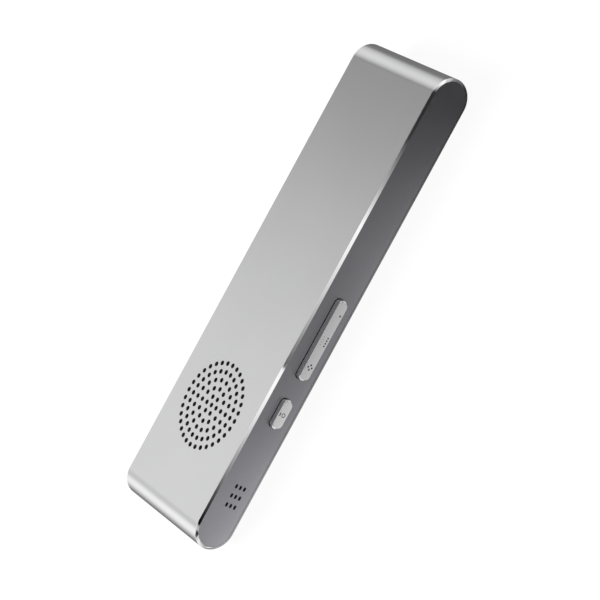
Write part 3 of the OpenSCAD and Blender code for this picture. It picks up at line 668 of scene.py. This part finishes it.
class Finish(Tree):
    """A material on Object coordinates, with short ways to add its patterns"""

    def __init__(self, name, colour, roughness, metallic=0.0, **extra):
        self.material = bpy.data.materials.new(name)
        self.material.use_nodes = True
        super().__init__(self.material.node_tree)
        self.shader = self.tree.nodes["Principled BSDF"]
        self.shader.inputs["Base Color"].default_value = (*colour, 1)
        self.shader.inputs["Roughness"].default_value = roughness
        self.shader.inputs["Metallic"].default_value = metallic
        for socket, value in extra.items():
            self.shader.inputs[socket.replace("_", " ")].default_value = value
        self.colour = colour
        self.place = self.add("ShaderNodeTexCoord").outputs["Object"]

    def noise(self, scale, detail=2.0, stretch=(1, 1, 1)):
        """Noise value at a scale given per metre, stretched along the axes"""
        mapping = self.add("ShaderNodeMapping")
        mapping.inputs["Scale"].default_value = stretch
        self.link(self.place, mapping.inputs["Vector"])
        noise = self.add("ShaderNodeTexNoise")
        noise.inputs["Scale"].default_value = scale
        noise.inputs["Detail"].default_value = detail
        self.link(mapping.outputs["Vector"], noise.inputs["Vector"])
        return noise.outputs["Fac"]

    def spread(self, value, low=0.0, high=1.0):
        """Maps a noise value to a range"""
        return self.ranged(value, NOISE_LOW, NOISE_HIGH, low, high)

    def vary_colour(self, value, amount):
        """Lets the base colour drift by a share either way"""
        mix = self.add("ShaderNodeMix", data_type="RGBA")
        self.link(self.spread(value), mix.inputs["Factor"])
        mix.inputs["A"].default_value = (*(c * (1 - amount) for c in self.colour), 1)
        mix.inputs["B"].default_value = (*(min(1, c * (1 + amount)) for c in self.colour), 1)
        self.link(mix.outputs["Result"], self.shader.inputs["Base Color"])

    def vary_roughness(self, value, low, high):
        self.link(self.spread(value, low, high), self.shader.inputs["Roughness"])

    def bump(self, height, depth, strength):
        """Surface relief: depth in metres"""
        bump = self.add("ShaderNodeBump")
        bump.inputs["Distance"].default_value = depth
        bump.inputs["Strength"].default_value = strength
        self.link(height, bump.inputs["Height"])
        self.link(bump.outputs["Normal"], self.shader.inputs["Normal"])


# ---- Materials ----

def blasted_aluminium():
    """Bead-blasted and anodised: an even fine grain, barely clouded"""
    finish = Finish("blasted_aluminium", (0.7, 0.7, 0.705), 0.265, 1.0)
    finish.vary_colour(finish.noise(60, 2), 0.012)
    finish.vary_roughness(finish.noise(2500, 2), 0.262, 0.267)
    finish.bump(finish.noise(9000, 3), 0.004 * MM, 0.05)
    return finish.material


def polished_rim():
    """Diamond-cut chamfer: bright, with fine turning lines along the rim"""
    finish = Finish("polished_rim", (0.92, 0.92, 0.925), 0.02, 1.0)
    finish.vary_roughness(finish.noise(1500, 2, (6, 1, 1)), 0.01, 0.025)
    return finish.material


def side_aluminium():
    """The key side's plate: the same grain, in a darker colour"""
    finish = Finish("side_aluminium", (0.255, 0.252, 0.27), 0.28, 0.86)
    finish.vary_colour(finish.noise(60, 2), 0.02)
    finish.vary_roughness(finish.noise(2500, 2), 0.277, 0.283)
    finish.bump(finish.noise(9000, 3), 0.004 * MM, 0.05)
    return finish.material


def key_aluminium():
    """A little brighter and smoother than the shell"""
    finish = Finish("key_aluminium", (0.78, 0.78, 0.79), 0.22, 1.0)
    finish.vary_roughness(finish.noise(2500, 2), 0.212, 0.224)
    finish.bump(finish.noise(9000, 3), 0.003 * MM, 0.1)
    return finish.material


def mark_ink():
    finish = Finish("mark_ink", (0.03, 0.03, 0.032), 0.6)
    finish.vary_colour(finish.noise(4000, 2), 0.2)
    return finish.material


def metal(name, colour, roughness, scale=2500, stretch=(1, 1, 1), depth=0.004):
    finish = Finish(name, colour, roughness, 1.0)
    lines = finish.noise(scale, 3, stretch)
    finish.vary_colour(finish.noise(200, 2), 0.06)
    finish.vary_roughness(lines, roughness * 0.8, roughness * 1.25)
    finish.bump(lines, depth * MM, 0.4)
    return finish.material


def plastic(name, colour, roughness, scale=3000, depth=0.008, drift=0.06, **extra):
    finish = Finish(name, colour, roughness, **extra)
    finish.vary_colour(finish.noise(150, 2), drift)
    finish.vary_roughness(finish.noise(scale / 3, 2), roughness * 0.85, roughness * 1.15)
    finish.bump(finish.noise(scale, 3), depth * MM, 0.5)
    return finish.material


def woven_mesh():
    """Fine dust mesh: two crossed rows of threads"""
    finish = Finish("dust_mesh", (0.018, 0.018, 0.018), 0.8)
    heights = []
    for turn in (0, pi / 2):
        mapping = finish.add("ShaderNodeMapping")
        mapping.inputs["Rotation"].default_value = (0, 0, turn)
        finish.link(finish.place, mapping.inputs["Vector"])
        wave = finish.add("ShaderNodeTexWave")
        wave.inputs["Scale"].default_value = 2200
        finish.link(mapping.outputs["Vector"], wave.inputs["Vector"])
        heights.append(wave.outputs["Fac"])
    weave = finish.math("MAXIMUM", *heights)
    finish.vary_colour(weave, 0.5)
    finish.bump(weave, 0.03 * MM, 0.6)
    return finish.material


def circuit_board():
    """Green mask over copper: straight tracks show faintly under it"""
    finish = Finish("circuit_board", (0.012, 0.11, 0.05), 0.35, Coat_Weight=0.3)
    brick = finish.add("ShaderNodeTexBrick")
    brick.inputs["Scale"].default_value = 260
    brick.inputs["Mortar Size"].default_value = 0.06
    brick.inputs["Color1"].default_value = (0.012, 0.1, 0.045, 1)
    brick.inputs["Color2"].default_value = (0.01, 0.12, 0.055, 1)
    brick.inputs["Mortar"].default_value = (0.05, 0.26, 0.13, 1)
    finish.link(finish.place, brick.inputs["Vector"])
    finish.link(brick.outputs["Color"], finish.shader.inputs["Base Color"])
    finish.bump(brick.outputs["Fac"], 0.02 * MM, 0.5)
    return finish.material


FINISHES = {
    "blasted_aluminium": blasted_aluminium(),
    "side_aluminium": side_aluminium(),
    # Dark grey plastic; its colour is also lowered to offset the strong lamp on this side, which
    # is painted shade
    "side_plastic": plastic("side_plastic", (0.125, 0.127, 0.133), 0.45, drift=0.015),
    "key_aluminium": key_aluminium(),
    "mark_ink": mark_ink(),
    "adhesive": plastic("adhesive", (0.05, 0.05, 0.05), 0.7),
    "spring_steel": metal("spring_steel", (0.55, 0.55, 0.54), 0.28, 1800, (1, 8, 1)),
    "black_plastic": plastic("black_plastic", (0.014, 0.014, 0.016), 0.55),
    "circuit_board": circuit_board(),
    "flex_film": plastic("flex_film", (0.42, 0.2, 0.03), 0.3, 1500, 0.004, Coat_Weight=0.4),
    "gold_plate": metal("gold_plate", (0.83, 0.6, 0.24), 0.25),
    "cream_plastic": plastic("cream_plastic", (0.72, 0.66, 0.5), 0.5),
    "chip_resin": plastic("chip_resin", (0.02, 0.02, 0.022), 0.65, 5000, 0.006),
    "chip_parts": plastic("chip_parts", (0.38, 0.26, 0.16), 0.45, 2500, 0.01),
    "cell_foil": metal("cell_foil", (0.66, 0.67, 0.68), 0.32, 700, (1, 1, 1), 0.03),
    "foam": plastic("foam", (0.03, 0.03, 0.03), 0.95, 2600, 0.12),
    "dust_mesh": woven_mesh(),
    "rubber_boot": plastic("rubber_boot", (0.02, 0.02, 0.02), 0.7, 3500, 0.01),
    "red_lead": plastic("red_lead", (0.5, 0.02, 0.02), 0.4),
    "blue_lead": plastic("blue_lead", (0.02, 0.05, 0.4), 0.4),
    "magnet": metal("magnet", (0.4, 0.4, 0.42), 0.35),
    "copper_wire": metal("copper_wire", (0.78, 0.36, 0.2), 0.3, 3000, (1, 1, 14), 0.02),
    "cone_film": plastic("cone_film", (0.02, 0.02, 0.022), 0.5, 2000, 0.01),
    "clear_plastic": plastic("clear_plastic", (0.85, 0.9, 0.92), 0.12, 3000, 0.002,
                             Transmission_Weight=0.8, IOR=1.49),
}


for node in nodes.values():
    for place, slot in enumerate(node.data.materials):
        node.data.materials[place] = FINISHES[slot.name.split(".")[0]]


def dress(piece, body, slot, *replaced, finish=None):
    """Gives a piece its finish, which has its slot's name unless another is given"""
    piece.data.materials.clear()
    piece.data.materials.append(FINISHES[finish or slot])
    if replaced:
        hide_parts(*replaced)
    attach(piece, body)
    return piece


RIM_FACING = 0.15  # faces turned further than this to the side belong to the rim
LAND_FACING = 0.9


def polish_rims(shell):
    """Gives the chamfers the diamond-cut finish, and the lands inside them a plain cut one"""
    shell.data.materials.append(polished_rim())
    shell.data.materials.append(metal("cut_aluminium", (0.5, 0.5, 0.505), 0.3))
    for face in shell.data.polygons:
        outward = abs(face.normal.x)
        if abs(face.center.x) > HALF_W - RIM_CHAMFER - EDGE_BREAK and outward > RIM_FACING:
            face.material_index = 1 if outward < LAND_FACING else 2


shell = dress(make_shell(), "case", "blasted_aluminium", "shell")
polish_rims(shell)
dress(make_right_cover(), "case", "side_aluminium", "right_cover")
dress(make_left_cover(), "case", "side_plastic", "left_cover")

long_lip_x = COVER_IN - (long_high.y - LONG_Y) * sin(LONG_TILT) - LONG_LIP_ROOM
long_feet = [(LONG_Y - MARK_PITCH, TILT_ROOM), (LONG_Y, 0), (LONG_Y + MARK_PITCH, TILT_ROOM)]
dress(make_key("long_key_cap", "long_key", long_lip_x, long_feet, "key_pin"),
      "long_key", "key_aluminium", "long_key")
dress(make_key("power_key_cap", "power_key", COVER_IN - POWER_LIP_ROOM, [(POWER_Y, 0)]),
      "power_key", "key_aluminium", "power_key")
ends = [make_dome("end_dome_caps", LONG_Y + side * MARK_PITCH) for side in (-1, 1)]
add_dome(joined(ends, "end_dome_caps"), "end_domes")
add_dome(make_dome("middle_dome_cap", LONG_Y), "middle_dome")
add_dome(make_dome("power_dome_cap", POWER_Y), "power_dome")
dress(make_long_marks(), "long_key", "black_plastic", finish="mark_ink")
dress(make_power_marks(), "power_key", "black_plastic", finish="mark_ink")


# ---- Floor, surroundings and lamp ----

# Painted reflection, which only metal sees, by the Y of its direction: a big softbox at -X, -Y
# that lights nothing else.
SOFTBOX_SIDE = [(-1.0, 1.0), (-0.75, 1.2), (-0.55, 1.3), (-0.48, 0.78), (-0.36, 0.7),
                (-0.2, 1.0), (-0.06, 0.95), (0.0, 0.82), (0.05, 0.06), (0.1, 0.15), (0.17, 0.47),
                (0.27, 0.76), (0.4, 1.0), (0.56, 0.95), (0.66, 0.6), (0.8, 0.3), (1.0, 0.25)]
# Painted highlights: strip lights behind the viewer, which the chamfers mirror one by one, and
# the dark round them
STRIP_SIDE = [(-0.142, 0.0), (-0.128, 0.08), (-0.109, 0.41), (-0.089, 0.88), (-0.076, 1.07),
              (-0.068, 1.0), (-0.067, 0.11), (-0.045, 0.43), (-0.012, 0.95), (0.001, 1.05),
              (0.02, 0.44), (0.044, 0.045), (0.055, 0.03)]
# Painted reflection that the ends of the chamfers mirror beyond the strips
END_SIDE = [(-0.8, 0.2), (-0.68, 0.04), (-0.58, 0.04), (-0.5, 0.55), (-0.38, 0.45), (-0.26, 0.0),
            (0.05, 0.02), (0.15, 0.07), (0.25, 0.3), (0.41, 0.7), (0.56, 1.05)]
# Painted reflection on the viewer's side of the surroundings
VIEWER_SIDE = 0.7
# Painted reflection, which only metal sees: brightness of the floor on the key side along the
# body, then out from it; painted shade towards the +Y end and right beside the body, a painted
# highlight just beyond
PAINTED_FLOOR_SIDE = [(-0.1, 1.1), (-0.088, 0.75), (-0.077, 0.3), (-0.071, 1.05), (-0.05, 0.86),
              (-0.035, 0.68), (-0.015, 0.56), (0.02, 0.52), (0.035, 0.39), (0.05, 0.21),
              (0.065, 0.08), (0.078, 0.11), (0.087, 0.25), (0.102, 0.75), (0.18, 1.2)]
PAINTED_FLOOR_OUT = [(0.0185, 0.36), (0.0196, 0.36), (0.0203, 1.55), (0.0225, 1.29), (0.027, 1.11),
             (0.031, 0.95), (0.045, 0.8), (0.09, 0.6)]
# Its painted reflection behind the body, which the rounded ends mirror: dark as painted shade,
# except well past the -Y end
PAINTED_FLOOR_BACK = [(-0.125, 0.9), (-0.092, 0.42), (-0.08, 0.18), (0.12, 0.22), (0.2, 0.3)]
FLOOR_DROP = 0.05 * MM  # below the back face
CARD_GLOW = 0.93  # share of the card that shines by itself, so that the shadow stays faint
AROUND = 0.55  # brightness of the surroundings for everything but camera, metal and glass
# The strips stand in this direction, and end at a height that falls towards both sides
STRIPS_X, STRIPS_Z = 0.91, 0.41
STRIPS_EDGE = (0.5, 0.6)
STRIPS_TOP = (0.59, 0.64)
STRIPS_SLANT = 0.6


def add_floor():
    """Pale card that keeps a faint shadow; metal sees the painted reflection above in its place,
    with its painted shade and highlight
    """
    bpy.ops.mesh.primitive_plane_add(size=6, location=(0, 0, -FLOOR_DROP))
    floor = new_piece("floor")
    card = Finish("floor_card", (0.94, 0.94, 0.94), 0.9)
    path = card.add("ShaderNodeLightPath")
    spot = card.add("ShaderNodeSeparateXYZ")
    card.link(card.place, spot.inputs["Vector"])
    x, y = spot.outputs["X"], spot.outputs["Y"]
    key_side = card.math("MULTIPLY", card.profile(y, -0.2, 0.2, PAINTED_FLOOR_SIDE),
                         card.profile(x, 0.0, 0.1, PAINTED_FLOOR_OUT))
    back = card.profile(y, -0.2, 0.2, PAINTED_FLOOR_BACK)
    # Glossy rays alone see this painted reflection: the key side's tables towards +X, the dark
    # back towards -X
    painted_reflection = card.blend(card.step(x, 0.0, 0.02), back, key_side)
    # Plain white for the camera; the painted reflection for metal
    glow = card.add("ShaderNodeEmission")
    card.link(card.blend(path.outputs["Is Glossy Ray"], 1.0, painted_reflection), glow.inputs["Strength"])
    share = card.math("MULTIPLY_ADD", path.outputs["Is Camera Ray"], CARD_GLOW,
                      path.outputs["Is Glossy Ray"])
    card.mix_shaders(share, card.shader.outputs["BSDF"], glow.outputs["Emission"],
                     "Material Output")
    floor.data.materials.append(card.material)


def add_world():
    """White surroundings; metal alone sees a painted studio in them: softbox, dark gap and strip
    lights, which light nothing
    """
    world = bpy.data.worlds.new("studio")
    bpy.context.scene.world = world
    world.use_nodes = True
    tree = Tree(world.node_tree)
    spot = tree.add("ShaderNodeSeparateXYZ")
    tree.link(tree.add("ShaderNodeTexCoord").outputs["Generated"], spot.inputs["Vector"])
    x, y, z = (spot.outputs[axis] for axis in "XYZ")
    softbox = tree.profile(y, -1, 1, SOFTBOX_SIDE)
    strips = tree.math("MAXIMUM", tree.profile(y, -0.15, 0.06, STRIP_SIDE),
                       tree.profile(y, -1, 1, END_SIDE))
    facing = tree.math("ADD", tree.math("MULTIPLY", x, STRIPS_X),
                       tree.math("MULTIPLY", z, STRIPS_Z))
    height = tree.math("MULTIPLY_ADD", tree.math("ABSOLUTE", y), STRIPS_SLANT, z)
    shown = tree.math("MULTIPLY", tree.step(facing, *STRIPS_EDGE),
                      tree.step(height, *STRIPS_TOP, 1.0, 0.0))
    studio = tree.blend(tree.step(x, -0.2, 0.2), softbox, VIEWER_SIDE)
    studio = tree.blend(shown, studio, strips)
    path = tree.add("ShaderNodeLightPath")
    plain = world.node_tree.nodes["Background"]
    plain.inputs["Strength"].default_value = AROUND
    pale = tree.add("ShaderNodeBackground")
    for background in (plain, pale):
        background.inputs["Color"].default_value = (1, 1, 1, 1)
    tree.link(tree.blend(path.outputs["Is Glossy Ray"], 1.0, studio), pale.inputs["Strength"])
    seen = tree.math("MAXIMUM", path.outputs["Is Camera Ray"], path.outputs["Is Glossy Ray"])
    seen = tree.math("MAXIMUM", seen, path.outputs["Is Transmission Ray"])
    tree.mix_shaders(seen, plain.outputs["Background"], pale.outputs["Background"],
                     "World Output")


def add_lamp(name, direction, distance, size, power):
    """Soft rectangular lamp, aimed at the middle of the body, that metal doesn't mirror"""
    place = Vector(direction).normalized() * distance
    bpy.ops.object.light_add(type="AREA", location=place)
    lamp = bpy.context.object
    lamp.name = name
    lamp.data.shape = "RECTANGLE"
    lamp.data.size, lamp.data.size_y = size
    lamp.data.energy = power
    lamp.rotation_euler = (-place).to_track_quat("-Z", "Y").to_euler()
    lamp.visible_glossy = False


add_floor()
add_world()
add_lamp("key_softbox", (-0.6, -0.7, 0.6), 1.2, (0.9, 0.9), 34)

bpy.context.scene.view_settings.view_transform = "Standard"
